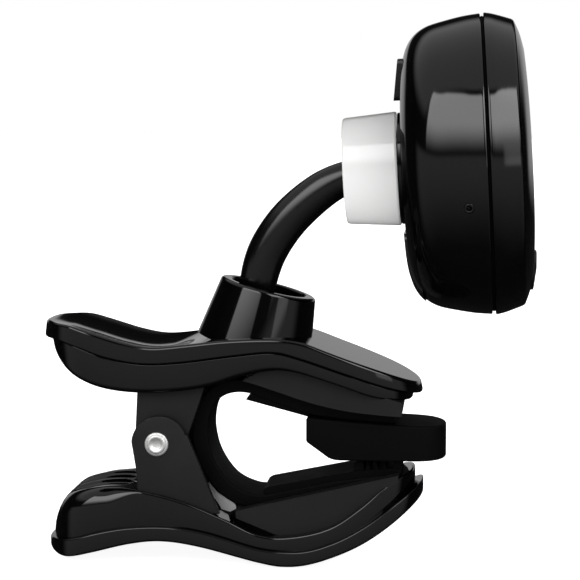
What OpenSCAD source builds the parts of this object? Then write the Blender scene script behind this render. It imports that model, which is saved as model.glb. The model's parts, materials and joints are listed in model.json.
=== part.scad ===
// Clip-on instrument tuner: a spring clip, a curved stem with a ball at each
// end, and a round display head on a white ball socket.
// +X runs from the thumb end to the jaw tips, +Z is up, Y is across the clip.
// The origin is the middle of the grip, where the upper block meets the lower pad.

/* [Clip] */
// Width of the two clip levers
clip_w = 21.4; // [20:0.2:24]
// Width of the rubber band that lines the throat
band_w = 11; // [9:0.5:11.6]
// Width of the rubber grip block
block_w = 12.6; // [11:0.2:16]
// Diameter of the pivot rivet's shank
rivet_d = 2.4; // [2:0.1:2.8]
// Diameter of the pivot rivet's head
rivet_head_d = 3.8; // [3.4:0.1:5]

/* [Stem] */
// Diameter of the stem at the middle of its bend
stem_d = 6.1; // [5.4:0.1:6.4]
// Diameter of the stem where it enters either socket
stem_end_d = 4.9; // [4:0.1:5]
// Diameter of the lower ball
base_ball_d = 8.4; // [8:0.1:8.4]
// Diameter of the upper ball
head_ball_d = 8.4; // [8:0.1:8.4]

/* [Base socket] */
// Lean of the base socket towards the jaw
boss_lean = 14; // [10:0.5:18]
// Outer diameter of the socket's upper rim
boss_d = 15.4; // [15:0.1:16.4]
// Diameter of the opening in the socket's upper rim
boss_hole_d = 11.9; // [11.4:0.1:12]

/* [Head] */
// Diameter of the display head
head_d = 47.5; // [47:0.1:48]
// Upward tilt of the head's axis
head_tilt = 3; // [0:0.2:4]
// Length of the white collar
collar_len = 8.5; // [8.4:0.1:8.6]
// Wall thickness of the head's shells
wall = 1.5; // [1.2:0.1:1.6]
// Diameter of the display lens
lens_d = 30; // [26:0.5:31]
// Diameter of the coin cell
cell_d = 20; // [19.9:0.1:20.1]

/* [Hidden] */
$fn = 64;

half_w = clip_w / 2;
tier_half_w = half_w - 0.8;
tray_half_w = half_w - 2.6;
running_gap = 0.05;

// Pivot and ears
pivot = [-36.3, 2.7];
ear_centre = [-35.9, 2.7];
ear_r = 4.45;
ear_t = 1.4;
outer_ear_y = 7.8;
inner_ear_y = outer_ear_y - ear_t - 0.1;

// Ring centre of the base socket and the lower ball, on the socket's leaning axis
ring_centre = [-19.4, 26.9];
base_ball_depth = 6;
boss_axis = [sin(boss_lean), cos(boss_lean)];
base_ball_at = ring_centre - base_ball_depth * boss_axis;
base_ball_r = base_ball_d / 2;

// The head's own frame: s runs along its axis to the front, from the parting line
head_centre = [15.3, 46.6];
head_r = head_d / 2;
collar_back = -14;
head_ball_s = -18.2;
head_axis = [cos(head_tilt), sin(head_tilt)];
head_ball_at = head_centre + head_ball_s * head_axis;
head_ball_r = head_ball_d / 2;

// ---- Curves -------------------------------------------------------------

// One point of a Catmull-Rom span
function span(a, b, c, d, t) =
    0.5 * (2 * b + (c - a) * t + (2 * a - 5 * b + 4 * c - d) * t * t
        + (3 * b - a - 3 * c + d) * t * t * t);

// A smooth line through every point of a list
function smooth(p, n = 4) = concat(
    [for (i = [0:len(p) - 2]) for (k = [0:n - 1])
        span(p[max(i - 1, 0)], p[i], p[i + 1], p[min(i + 2, len(p) - 1)], k / n)],
    [p[len(p) - 1]]);

function flip(p) = [for (i = [len(p) - 1:-1:0]) p[i]];

function arc(c, r, a0, a1, n = 16) =
    [for (k = [0:n]) c + r * [cos(a0 + (a1 - a0) * k / n), sin(a0 + (a1 - a0) * k / n)]];

function shifted(p, v) = [for (q = p) q + v];

// ---- Side profiles of the clip ------------------------------------------

upper_top = smooth([[-55.5, 21.6], [-51.6, 21.8], [-46.5, 20.4], [-41.4, 18.9], [-36.9, 18.2],
    [-31.3, 18.7], [-25.2, 19.4], [-18.1, 19.7], [-13.5, 19.2], [-7.9, 17.2], [0.2, 14.2], [5.7, 11.9]]);
upper_mid = smooth([[-55.5, 19.1], [-52.1, 19], [-48.4, 18], [-44, 16.5], [-38.4, 15.6],
    [-32.3, 15.9], [-24.2, 17], [-18.1, 17.6], [-14, 16.8], [-5.9, 14.1], [0.2, 12], [5.6, 10.4]]);
upper_belly = smooth([[-53.7, 18.4], [-52.7, 16.2], [-49.9, 13.6], [-45.5, 11.7], [-40.4, 10.9],
    [-34.3, 11], [-28.2, 11.9], [-23.2, 13.5], [-18.1, 14.6], [-14, 14.3], [-7.9, 12.5], [-1.9, 10.4],
    [3.4, 9.5]]);

lower_mid = smooth([[-55, -13.5], [-50.7, -12.8], [-45.6, -11.4], [-40.5, -10.5], [-34.4, -10.3],
    [-28.3, -11.2], [-20.7, -13.4], [-16.2, -13.9], [-12.1, -13.6], [-7.5, -12], [-3, -9.5],
    [1.2, -6.5], [5.7, -3.3]]);
lower_bottom = smooth([[-55, -15], [-51.4, -15.7], [-46.6, -14.6], [-40.5, -13.1],
    [-35.4, -12.6], [-29.4, -13.4], [-20.2, -15.7], [-15.7, -16.3], [-11.1, -15.6], [-5, -13.2],
    [0.1, -10.1], [5.7, -5.7]]);
lower_tier = smooth([[-54, -12.3], [-53.7, -9.2], [-51.4, -6.5], [-47.2, -4.9],
    [-42.5, -4.4], [-37.4, -5], [-31.4, -6.6], [-25.3, -9.1], [-20.2, -11.4], [-15.1, -11.6], [-9, -10.1],
    [-4, -6.8], [0.1, -3.4], [3.8, -1.7]]);

// The throat band: its inner and outer faces, from the upper jaw round to the lower
band_in = smooth([[1.2, 5.8], [-5.9, 6.3], [-12.5, 7.2], [-18.1, 9], [-22.5, 10.5],
    [-25.8, 10.1], [-27.9, 8], [-28.6, 4.6], [-28.1, 1.1], [-26.9, -1.6], [-25, -4],
    [-22.5, -5.4], [-19.7, -5.8], [-14.1, -4.7], [-8, -3.4], [-0.9, -2.4]]);
band_out = smooth([[1.2, 7.4], [-5.9, 8.1], [-12, 9.4], [-17.6, 11.2], [-22.5, 12.6],
    [-26.8, 12], [-30, 9], [-31.2, 4.5], [-30.6, 0.3], [-29.1, -2.8], [-26.6, -5.9],
    [-23.2, -7.7], [-19.2, -7.9], [-13.5, -6.7], [-7.6, -5.5], [-0.9, -4.2]]);

// A face a share f of the way through the band
function band_face(f) = [for (i = [0:len(band_in) - 1]) band_in[i] * (1 - f) + band_out[i] * f];

// Plan outline of a lever: rounded thumb end, tapered and rounded jaw end
function end_curve(x0, len, hw, power, a0, a1, n = 14) = [for (k = [0:n])
    let (a = a0 + (a1 - a0) * k / n)
    [x0 + len * sign(cos(a)) * pow(abs(cos(a)), 2 / power),
        hw * sign(sin(a)) * pow(abs(sin(a)), 2 / power)]];

module lever_plan(x_thumb, x_jaw, hw) {
    polygon(concat(end_curve(-10, x_jaw + 10, hw, 2.6, -90, 90),
        end_curve(x_thumb + 9, 9, hw, 2.2, 90, 270)));
}

// A side profile, extruded across the clip
module slab(points, hw) {
    rotate([90, 0, 0]) linear_extrude(2 * hw, center = true) polygon(points);
}

// The same, between two distances from the centre plane, on both sides
module side_plates(points, y0, t) {
    for (side = [-1, 1])
        translate([0, side * (y0 + t / 2), 0])
            rotate([90, 0, 0]) linear_extrude(t, center = true) polygon(points);
}

// Cylinder across the clip
module cross_pin(at, r, w) {
    translate([at.x, 0, at.y]) rotate([90, 0, 0]) cylinder(r = r, h = w, center = true);
}

// Children are placed on the base socket's axis, z = 0 at its rim
module on_boss() {
    translate([ring_centre.x, 0, ring_centre.y]) rotate([0, boss_lean, 0]) children();
}

// Children's z axis becomes the head's axis, with x up the back of the head
module on_head() {
    translate([head_centre.x, 0, head_centre.y])
        rotate([0, 90 - head_tilt, 0]) rotate([0, 0, 180]) children();
}

// ---- Lower lever --------------------------------------------------------

module lower_cover() {
    color("#0b0b0c") intersection() {
        slab(concat(lower_mid, flip(lower_bottom)), half_w);
        translate([0, 0, -20]) linear_extrude(30) lever_plan(-54.9, 5.5, half_w);
    }
}

lower_ear = concat([[-26.4, -8.3], [-31.5, 4.3]], arc(ear_centre, ear_r, 20, 176),
    [[-39.5, -2.1], [-39.4, -7.9]]);

module lower_ribs() {
    for (y = [-3.6, 0, 3.6])
        translate([0, y, 0]) rotate([90, 0, 0]) linear_extrude(1.5, center = true)
            polygon(concat(smooth([[-53.1, -9.2], [-51.2, -6.1], [-47.2, -4.4], [-42.5, -3.9],
                [-40.9, -4]]), [[-40.9, -6.1], [-50.7, -9.2]]));
}

module lower_lever() {
    color("#0e0e0f") difference() {
        union() {
            intersection() {
                slab(concat(lower_tier, [[4.1, -2.8]], flip(lower_mid)), tier_half_w);
                translate([0, 0, -20]) linear_extrude(30)
                    lever_plan(-54.2, 4.2, tier_half_w);
            }
            intersection() {
                side_plates(lower_ear, outer_ear_y, ear_t);
                translate([0, 0, -20]) linear_extrude(40)
                    lever_plan(-54.2, 4.2, tier_half_w);
            }
            lower_ribs();
        }
        // hollow of the thumb hump
        intersection() {
            slab(concat(smooth([[-51.3, -10.8], [-49.6, -7.9], [-46.6, -6.2], [-41.5, -5.7],
                [-36.4, -6.7], [-31.4, -8.2]]), [[-31.4, -10.1], [-40.5, -9.4]]), tier_half_w - 1.8);
            translate([0, 0, -20]) linear_extrude(30) lever_plan(-51.8, 4, tier_half_w - 1.8);
        }
        // seat of the jaw tray
        slab(concat([[-24.9, -4.6]], tray_floor, [[8.3, 4.1]]),
            tray_half_w + running_gap);
        cross_pin(pivot, rivet_d / 2 + running_gap, clip_w);
    }
}

tray_floor = smooth([[-23.9, -9.1], [-20.2, -10.6], [-16.2, -12], [-12.1, -11.6], [-7.7, -9.8],
    [-3.3, -6.9], [1.7, -2.8]]);
tray_top = [[-23.9, -8], [-15.1, -5.9], [-5.4, -3.6], [1.7, -1.9]];

module lower_jaw_tray() {
    color("#1b1b1c") difference() {
        slab(concat(tray_top, flip(tray_floor)), tray_half_w);
        // channel for the band's lower arm
        slab(concat([[-30.3, -0.6]], [for (p = band_out) if (p.y < -3.9 && p.x > -27) p],
            [[-0.9, -3.2], [4.2, -3.1], [4.2, -0.1]]), band_w / 2 + running_gap);
    }
}

pad_line = [[-19.8, -5], [-19.1, -4.6], [-5.36, -1.81], [2.2, -1.3]];
pad_tooth_xs = [-3.2, -1.9, -0.6];

module lower_pad() {
    color("#141414") union() {
        slab(concat(pad_line, [[2.1, -2.2], [1.59, -2.83], [-0.9, -3.1]],
            flip([for (p = band_in) if (p.y < -2.19 && p.x > -19.8) p])), band_w / 2 - 0.3);
        // rounded nub, teeth and end post that meet the grip block
        slab(concat([[-5.6, -2.5]], arc([-4.65, -1.08], 0.8, 200, -20), [[-3.7, -2.5]]),
            band_w / 2 - 0.6);
        for (x = pad_tooth_xs)
            slab([[x - 0.62, -2.2], [x, -0.3], [x + 0.62, -2.2]], band_w / 2 - 0.6);
        slab([[0.8, -2.2], [1, -0.2], [2.1, -0.2], [2.1, -2.2]], band_w / 2 - 0.6);
    }
}

module throat_liner() {
    color("#121213") difference() {
        slab(concat(band_in, flip(band_out)), band_w / 2);
        clamp_spring_solid(0.02);
        block_pin_holes();
    }
}

// Strip of steel through the middle of the band
module clamp_spring_solid(grow) {
    thickness_share = 0.28;
    slab(concat(band_face(0.5 - thickness_share / 2), flip(band_face(0.5 + thickness_share / 2))),
        band_w / 2 - 1 + grow);
}

module clamp_spring() {
    color("#b9bcc0") difference() {
        clamp_spring_solid(0);
        block_pin_holes();
    }
}

// Bent steel tab that ties the band to the lower lever, seen behind the ears
module spring_anchor() {
    color("#c4c6c8") slab([[-28.6, -4], [-27.2, -5.7], [-24.37, -7.54], [-24.2, -8.3],
        [-25.2, -8.8], [-26.6, -8.4], [-27.2, -7.3], [-28.9, -5.1]], band_w / 2 - 0.8);
}

// ---- Pivot --------------------------------------------------------------

module pivot_rivet() {
    head_h = 0.55;
    face = outer_ear_y + ear_t;
    color("#d8d8d8") union() {
        difference() {
            cross_pin(pivot, rivet_d / 2, 2 * face + 0.1);
            cross_pin(pivot, rivet_d / 2 - 0.5, 3 * face);
        }
        for (side = [-1, 1])
            translate([pivot.x, side * face, pivot.y]) rotate([-90 * side, 0, 0])
                rotate_extrude() polygon([[0.7, 0], [rivet_head_d / 2, 0],
                    [rivet_head_d / 2, 0.2], [1.55, head_h], [1.2, head_h], [1.05, 0.3],
                    [0.7, 0.25]]);
    }
}

module pivot_washers() {
    color("#a8a8a8") for (side = [-1, 1])
        translate([pivot.x, side * (inner_ear_y - 0.3), pivot.y]) rotate([90, 0, 0])
            difference() {
                cylinder(r = 2.3, h = 0.5, center = true);
                cylinder(r = rivet_d / 2 + running_gap, h = 2, center = true);
            }
}

// ---- Upper lever --------------------------------------------------------

module upper_cover() {
    color("#0c0c0d") difference() {
        intersection() {
            slab(concat(upper_top, flip(upper_mid)), half_w);
            linear_extrude(30) lever_plan(-55.4, 5.3, half_w);
        }
        on_boss() cylinder(r = spigot_r + running_gap, h = 40, center = true);
    }
}

upper_ear = concat([[-28.7, 12.3], [-29.5, 9.6], [-31.2, 4.8]], arc(pivot, 3.9, -20, -180),
    [[-39.9, 4.6], [-39.5, 12.5]]);

module upper_lever() {
    color("#0e0e0f") difference() {
        union() {
            intersection() {
                slab(concat([for (p = upper_mid) if (p.x < 3.6) p], flip(upper_belly)), tier_half_w);
                linear_extrude(30) lever_plan(-54.4, 3.8, tier_half_w);
            }
            side_plates(upper_ear, inner_ear_y, ear_t);
        }
        // hollow under the cover
        intersection() {
            slab(concat(smooth([[-51, 17.7], [-49.5, 15.7], [-46.5, 13.7], [-41.4, 12.3],
                [-34.3, 12.4], [-28.2, 13.2], [-22.7, 14.9]]), [[-12.4, 15.4], [-12.5, 30.4], [-30.2, 30.1],
                [-30.3, 14.5], [-40.4, 14.2], [-46.5, 16.3]]), tier_half_w - 1.6);
            linear_extrude(30) lever_plan(-52, 4, tier_half_w - 1.6);
        }
        cross_pin(pivot, rivet_d / 2 + running_gap, clip_w);
        // seat of the jaw insert
        slab(concat(insert_line, [[2.5, 4], [-22.2, 3.6]]), tray_half_w + running_gap);
    }
}

insert_line = smooth([[-22.8, 12.8], [-20.1, 14.2], [-17.6, 14.8], [-14, 14.7], [-7.9, 12.9],
    [-1.9, 10.8], [2.3, 9.6]]);

module upper_jaw_insert() {
    color("#1b1b1c") difference() {
        slab(concat(insert_line, [[2.2, 7.4]],
            [for (p = band_out) if (p.x < 1 && p.x > -22.3 && p.y > 7) p]), tray_half_w);
        block_pin_holes();
    }
}

module upper_pad() {
    color("#141414") slab(concat(
        [for (p = band_in) if (p.x < -12.4 && p.x > -22.4 && p.y > 7) p],
        [[-22.6, 9.4], [-12.7, 6.8]]), band_w / 2 - 0.3);
}

module grip_block_solid() {
    x_end = 9.1;
    round_len = 5.4;
    difference() {
        intersection() {
            slab(concat([[-12.7, 6.6], [-12.9, 2.9], [-9.5, 0.4]], arc([-7.6, 1.2], 1.2, -120, -90, 4),
                [[x_end, 0], [x_end - 0.4, 5.45], [1.2, 5.75], [-5.9, 6.25]]), block_w / 2);
            linear_extrude(10) polygon(concat([[-13, -block_w / 2]],
                end_curve(x_end - round_len, round_len, block_w / 2, 2.3, -90, 90),
                [[-13, block_w / 2]]));
        }
        // relief for the band that lies on the block
        slab(concat([for (p = band_in) if (p.x > -13 && p.y > 5) p], [[-13, 8.9], [1.2, 9.1]]),
            block_w);
    }
}

block_pin_xs = [-9, -2];

module block_pin_holes() {
    for (x = block_pin_xs)
        translate([x, 0, 3]) cylinder(r = 0.9 + running_gap, h = 7.2);
}

module grip_block() {
    color("#0a0a0a") difference() {
        grip_block_solid();
        block_pin_holes();
    }
}

module grip_block_pins() {
    color("#9c9ea0") for (x = block_pin_xs) translate([x, 0, 3.2]) cylinder(r = 0.9, h = 6.6);
}

// ---- Base socket --------------------------------------------------------

spigot_r = 7.4;
seat_r = 6.5;

module base_socket() {
    cone_h = 14;
    boss_taper = tan(9.5);
    color("#0b0b0c") difference() {
        union() {
            difference() {
                on_boss() translate([0, 0, -cone_h])
                    cylinder(r1 = boss_d / 2 + cone_h * boss_taper, r2 = boss_d / 2, h = cone_h);
                slab(concat(upper_top, [[5.6, -0.1], [-55.6, -1]]), 15);
            }
            on_boss() translate([0, 0, -9.5]) cylinder(r = spigot_r, h = 6);
        }
        on_boss() translate([0, 0, -3.4]) cylinder(r = boss_hole_d / 2, h = 10);
        on_boss() translate([0, 0, -30]) cylinder(r = seat_r + running_gap, h = 26.6);
    }
}

module base_ball_seat() {
    color("#2a2a2c") on_boss() difference() {
        translate([0, 0, -7.9]) cylinder(r = seat_r, h = 4.45);
        translate([0, 0, -base_ball_depth]) sphere(r = base_ball_r + running_gap);
        translate([0, 0, -4.2]) cylinder(r1 = 3.8, r2 = 5.2, h = 0.9);
    }
}

module base_spring_washer() {
    color("#b4b6b8") on_boss() translate([0, 0, -8.38]) difference() {
        cylinder(r = seat_r - 0.1, h = 0.4);
        translate([0, 0, -1]) cylinder(r = 4.6, h = 3);
    }
}

module base_retainer() {
    color("#232325") on_boss() difference() {
        translate([0, 0, -10.9]) rotate_extrude()
            polygon([[0, 0], [3, 0], [6.4, 1.4], [6.4, 2.45], [0, 2.45]]);
        translate([0, 0, -base_ball_depth]) sphere(r = base_ball_r + 0.1);
    }
}

// ---- Stem ---------------------------------------------------------------

// Centre line of the stem, from the lower ball to the upper one
stem_path = smooth([base_ball_at, [-21.2, 25], [-20.9, 28.6], [-19.4, 33], [-16.3, 37.6],
    [-12, 41.6], [-8, 44], head_ball_at], 4);
ball_flat = 2.6;

// Heading of the centre line at one of its points
function heading(k) =
    let (a = stem_path[max(k - 1, 0)], b = stem_path[min(k + 1, len(stem_path) - 1)])
    atan2(b.y - a.y, b.x - a.x);

// Radius of the stem at a share f of its length, fattest in the middle
function stem_radius(f) = (stem_end_d + (stem_d - stem_end_d) * pow(sin(180 * f), 0.8)) / 2;

function stem_ring(c, a, r, sides) = [for (k = [0:sides - 1])
    let (u = 360 * k / sides)
    [c.x + r * cos(u) * sin(a), r * sin(u), c.y - r * cos(u) * cos(a)]];

// Rings from one ball's flat to the other's
stem_start_a = heading(1);
stem_end_a = heading(len(stem_path) - 2);
stem_rings = concat(
    [[base_ball_at + ball_flat * [cos(stem_start_a), sin(stem_start_a)], stem_start_a,
        stem_end_d / 2]],
    [for (k = [4:len(stem_path) - 4]) [stem_path[k], heading(k),
        stem_radius((k - 3) / (len(stem_path) - 6))]],
    [[head_ball_at - ball_flat * [cos(stem_end_a), sin(stem_end_a)], stem_end_a,
        stem_end_d / 2]]);

module stem() {
    sides = 36;
    rings = len(stem_rings);
    points = [for (q = stem_rings) each stem_ring(q[0], q[1], q[2], sides)];
    faces = concat(
        [[for (k = [0:sides - 1]) k]],
        [for (j = [0:rings - 2]) for (k = [0:sides - 1])
            [j * sides + k, (j + 1) * sides + k, (j + 1) * sides + (k + 1) % sides,
                j * sides + (k + 1) % sides]],
        [[for (k = [sides - 1:-1:0]) (rings - 1) * sides + k]]);
    color("#1a1a1a") polyhedron(points, faces, 8);
}

// A ball with a flat towards heading a, where the stem's end is bonded to it
module ball(at, r, a) {
    translate([at.x, 0, at.y]) rotate([0, 90 - a, 0]) difference() {
        sphere(r = r);
        translate([-6, -6, ball_flat]) cube([12, 12, 10]);
    }
}

module base_ball() {
    color("#151515") ball(base_ball_at, base_ball_r, stem_start_a);
}

module head_ball() {
    color("#151515") ball(head_ball_at, head_ball_r, stem_end_a + 180);
}

// ---- Head socket --------------------------------------------------------

collar_bore_r = 6.4;
collar_front = collar_back - collar_len;

module head_ball_seat() {
    color("#2a2a2c") on_head() difference() {
        translate([0, 0, collar_front + 1.3]) cylinder(r = collar_bore_r - running_gap, h = 6);
        translate([0, 0, head_ball_s]) sphere(r = head_ball_r + running_gap);
        translate([0, 0, head_ball_s - 3.2]) cylinder(r1 = 5.2, r2 = 3.95, h = 1.8);
    }
}

module socket_collar() {
    color("#f4f4f2") on_head() difference() {
        translate([0, 0, collar_front]) rotate_extrude()
            polygon([[0, 0], [8.2, 0], [8.45, 0.3], [9, collar_len - 0.15],
                [8.9, collar_len], [0, collar_len]]);
        translate([0, 0, collar_front - 1]) cylinder(r = 5.6, h = 10);
        translate([0, 0, collar_front + 1.2]) cylinder(r = collar_bore_r, h = 20);
    }
}

// Cap that closes the collar on the ball seat, screwed to the rear shell
module collar_backplate() {
    color("#202022") on_head() difference() {
        translate([0, 0, collar_back - 1.1]) cylinder(r = collar_bore_r - 0.03, h = 1.05);
        translate([0, 0, head_ball_s]) sphere(r = head_ball_r + running_gap);
        cylinder(r = 1.8, h = 40, center = true);
        screw_ring(3, 4.4, 0.8, collar_back - 2, 4);
    }
}

module screw_ring(count, ring_r, r, z, h) {
    for (k = [0:count - 1])
        rotate([0, 0, 90 + k * 360 / count]) translate([ring_r, 0, z]) cylinder(r = r, h = h);
}

module collar_screws() {
    color("#b0b0b0") on_head() {
        screw_ring(3, 4.4, 0.75, collar_back - 1.1, 3.3);
        screw_ring(3, 4.4, 1.4, collar_back + 1.9, 0.9);
    }
}

// ---- Head shells --------------------------------------------------------

// Half sections of the head: [distance from the axis, distance along it]
rear_outer = concat([[0, -13.9], [8.8, -13.9], [8.8, -13.3], [14.2, -13]],
    smooth([[17.7, -12.4], [19.7, -11.5], [21.3, -10.1], [22.2, -8.2], [23, -5],
        [head_r - 0.1, -0.25]]));
rear_inner = concat([[0, -12.3], [9.1, -12.1], [14, -11.5], [16.9, -10.9]],
    smooth([[18.4, -10.4], [19.7, -9.5], [20.6, -8], [21.5, -4.4], [head_r - wall - 0.1, -0.25]]));
front_outer = concat([[0, 7.05], [9, 6.9]],
    smooth([[14.3, 6.65], [17, 6.4], [20, 5.8], [22.1, 5]]), [[22.5, 4.6]],
    smooth([[23.1, 2.9], [23.5, 1.6], [head_r, 0.25]]));
front_inner = concat([[0, 5.5], [14, 5.2]],
    smooth([[16.6, 4.9], [19, 4.2], [20.6, 3.2], [21.6, 2], [head_r - wall, 0.25]]));

module revolved(points) {
    rotate_extrude($fn = 128) polygon(points);
}

// Frame of the pocket in the back for the battery door, along the sloping back
door_w = 17;
door_top = 9.9;
door_bottom = 21.4;
back_slope = 7.2;
door_t = 1.4;

module on_back() {
    translate([-door_top, 0, -13.5]) rotate([0, back_slope, 0]) children();
}

module door_space(grow, outward) {
    on_back()
        translate([-(door_bottom - door_top) - outward, -door_w / 2 - grow, -2])
            cube([door_bottom - door_top + outward + grow, door_w + 2 * grow, 2 + door_t + grow]);
}

key_w = 7.2;
key_x = [10.7, 17.2];

module key_space(grow, z0, z1) {
    translate([key_x[0] - grow, -key_w / 2 - grow, z0])
        cube([key_x[1] - key_x[0] + 2 * grow, key_w + 2 * grow, z1 - z0]);
}

module rear_shell() {
    color("#0a0a0b") on_head() difference() {
        union() {
            difference() {
                revolved(concat(rear_outer, flip(rear_inner)));
                door_space(0.08, 14);
                key_space(0.1, -20, -5);
            }
            // tray that closes the battery bay, and screw posts
            intersection() {
                revolved(concat(rear_outer, [[0, -0.25]]));
                difference() {
                    translate([-cell_x, 0, -12]) cylinder(r = cell_d / 2 + 1.3, h = 9.8);
                    translate([-cell_x, 0, -14]) cylinder(r = cell_d / 2 + 0.2, h = 20);
                    door_space(0.08, 14);
                    // notch for the contact strip
                    translate([0, -2.4, -10.2]) cube([4, 4.8, 12]);
                }
            }
            for (p = post_at) translate([p[0], p[1], -11]) cylinder(r = 1.9, h = 8.5);
        }
        for (p = post_at) translate([p[0], p[1], -9]) cylinder(r = 0.8, h = 20);
        screw_ring(3, 4.4, 0.8, -20, 12);
        // room for the collar screws' heads
        screw_ring(3, 4.4, 1.5, collar_back + 1.85, 2);
        // sound hole on the near side
        mic_axis() cylinder(r = 0.78, h = 12, center = true);
    }
}

cell_x = 9.2;
post_at = [for (a = [52, -52, 128, -128]) [18 * cos(a), 18 * sin(a)]];

// Sound hole's axis, square to the side of the rear shell
module mic_axis() {
    rotate([0, 0, 103.8]) translate([22.8, 0, -3.2]) rotate([0, 90, 0]) children();
}

module front_shell() {
    color("#0a0a0b") on_head() difference() {
        union() {
            revolved(concat(front_outer, flip(front_inner)));
            // screw bosses
            for (p = post_at) translate([p[0], p[1], 0.3]) cylinder(r = 1.9, h = 4.6);
        }
        translate([lens_x, 0, 0]) cylinder(r = lens_d / 2 + 0.05, h = 10, $fn = 96);
        button_space(0.12, 0, 10);
        for (p = post_at) translate([p[0], p[1], -1]) cylinder(r = 0.8, h = 4.4);
    }
}

lens_x = 3.2;
button_x = -17;
button_half = [3, 4.6];

// Oval opening for the power button
module button_space(grow, z0, z1) {
    slide = button_half[1] - button_half[0];
    translate([button_x, 0, z0]) linear_extrude(z1 - z0) union() {
        square([2 * (button_half[0] + grow), 2 * slide], center = true);
        for (y = [-slide, slide]) translate([0, y]) circle(r = button_half[0] + grow);
    }
}

module parting_gasket() {
    color("#050505") on_head() translate([0, 0, -0.25]) difference() {
        cylinder(r = head_r - 0.5, h = 0.5, $fn = 128);
        translate([0, 0, -1]) cylinder(r = head_r - wall - 0.1, h = 3, $fn = 128);
    }
}

module shell_screws() {
    color("#a9abad") on_head() for (p = post_at) translate([p[0], p[1], -8.8]) union() {
        cylinder(r = 0.75, h = 11.5);
        translate([0, 0, 6.3 + 0.02]) cylinder(r = 1.5, h = 0.9);
    }
}

// ---- Display ------------------------------------------------------------

module display_lens() {
    color("#202428", 0.6) on_head() intersection() {
        translate([lens_x, 0, 5.6]) cylinder(r = lens_d / 2, h = 3, $fn = 96);
        revolved([[0, -1], [head_r, -1], [head_r, 3], [20, 5.8], [17, 6.4], [14.3, 6.65],
            [9, 6.9], [0, 7.05]]);
    }
}

module display_mask() {
    color("#08080a") on_head() translate([lens_x, 0, 4.95]) difference() {
        cylinder(r = lens_d / 2 - 0.4, h = 0.6);
        for (k = [-5:5]) rotate([0, 0, k * 11]) translate([11.4, 0, -1])
            cube([2.6, 1.2, 4], center = true);
        translate([-1, 0, -1]) linear_extrude(3) square([11, 9], center = true);
    }
}

module display_panel() {
    color("#26303a") on_head() translate([lens_x, 0, 4]) cylinder(r = lens_d / 2 - 1.2, h = 0.9);
}

module display_leds() {
    color("#d9e6c8") on_head() translate([lens_x, 0, 3.1])
        for (k = [-5:5]) rotate([0, 0, k * 11]) translate([11.4, 0, 0.42])
            cube([1.6, 0.9, 0.84], center = true);
}

// ---- Electronics --------------------------------------------------------

board_z = 1.9;
board_t = 1.1;

module circuit_board() {
    color("#1f5a34") on_head() difference() {
        translate([0, 0, board_z]) cylinder(r = 20.4, h = board_t, $fn = 96);
        for (p = post_at) translate([p[0], p[1], 0]) cylinder(r = 2.3, h = 5);
    }
}

module tuner_chip() {
    color("#161616") on_head() translate([-6, 0, board_z - 0.76]) cube([7, 7, 1.5], center = true);
}

// Small parts on the back of the board
module board_components() {
    color("#8a7a5a") on_head() for (p = [[12, 5], [12, -5], [9, 9], [9, -9], [-3, 7], [-3, -7]])
        translate([p[0], p[1], board_z - 0.41]) cube([2.2, 1.3, 0.8], center = true);
}

// Posts that space the board from the rear shell's floor
module board_pillars() {
    color("#101010") on_head() for (y = [-9, 9]) translate([12, y, -10.9]) difference() {
        cylinder(r = 1.6, h = 12.75);
        translate([0, 0, 9]) cylinder(r = 0.7, h = 8);
    }
}

module power_switch() {
    color("#c9c9c4") on_head() translate([button_x, 0, board_z + board_t]) union() {
        translate([0, 0, 0.7]) cube([4.4, 4.4, 1.36], center = true);
        translate([0, 0, 1.3]) cylinder(r = 1.1, h = 0.3);
    }
}

module power_button() {
    color("#111112") on_head() intersection() {
        button_space(0, 4.95, 9);
        revolved([[0, 0], [head_r, 0], [22.3, 5], [20, 6.25], [17, 6.85], [14, 7.05], [0, 7.4]]);
    }
}

module function_switch() {
    color("#c9c9c4") on_head() translate([14, 0, -9.2]) union() {
        cube([4.4, 4.4, 1.5], center = true);
        translate([0, 0, -1.25]) cylinder(r = 1.1, h = 0.6);
        // carrier from the switch to the board
        translate([0, 0, 5.9]) cube([2.4, 6, 10.3], center = true);
    }
}

module function_key() {
    color("#131314") on_head() intersection() {
        key_space(0, -16, -10.9);
        revolved([[0, -14.6], [9.4, -14.5], [17.2, -13.4], [17.7, -13], [17.7, -11.3],
            [0, -11.3]]);
    }
}

cell_back = -9.6;
cell_h = 3.2;

module coin_cell() {
    color("#c8cacc") on_head() translate([-cell_x, 0, cell_back]) union() {
        cylinder(r = cell_d / 2, h = cell_h - 0.4, $fn = 96);
        translate([0, 0, cell_h - 0.4]) cylinder(r = cell_d / 2 - 1.2, h = 0.4, $fn = 96);
    }
}

module battery_contact_minus() {
    color("#d8c27a") on_head() translate([-cell_x, 0, cell_back + cell_h + 0.02]) union() {
        translate([-5, -2, 0]) cube([10, 4, 0.3]);
        translate([-5, -2, 0]) cube([0.3, 4, board_z - cell_back - cell_h - 0.04]);
    }
}

module battery_contact_plus() {
    color("#d8c27a") on_head() translate([-cell_x, 0, cell_back - 0.34]) union() {
        translate([-3, -2, 0]) cube([16.5, 4, 0.3]);
        translate([13.2, -2, 0]) cube([0.3, 4, board_z - cell_back + 0.3]);
    }
}

module battery_door() {
    color("#0d0d0e") on_head() intersection() {
        door_space(0, 1.5);
        difference() {
            revolved(concat(shifted(rear_outer, [0.12, -0.3]), [[head_r + 0.1, 0], [0, 0]]));
            // flat inner face, parallel to the back
            on_back() translate([-30, -20, door_t]) cube([60, 40, 30]);
        }
    }
}

piezo_at = [2, 11.5, -11.1];
piezo_h = 0.55;

module piezo_disc() {
    color("#d9b45a") on_head() translate(piezo_at) union() {
        cylinder(r = 4, h = 0.3);
        translate([0, 0, 0.3]) cylinder(r = 2.9, h = piezo_h - 0.3);
    }
}

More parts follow.
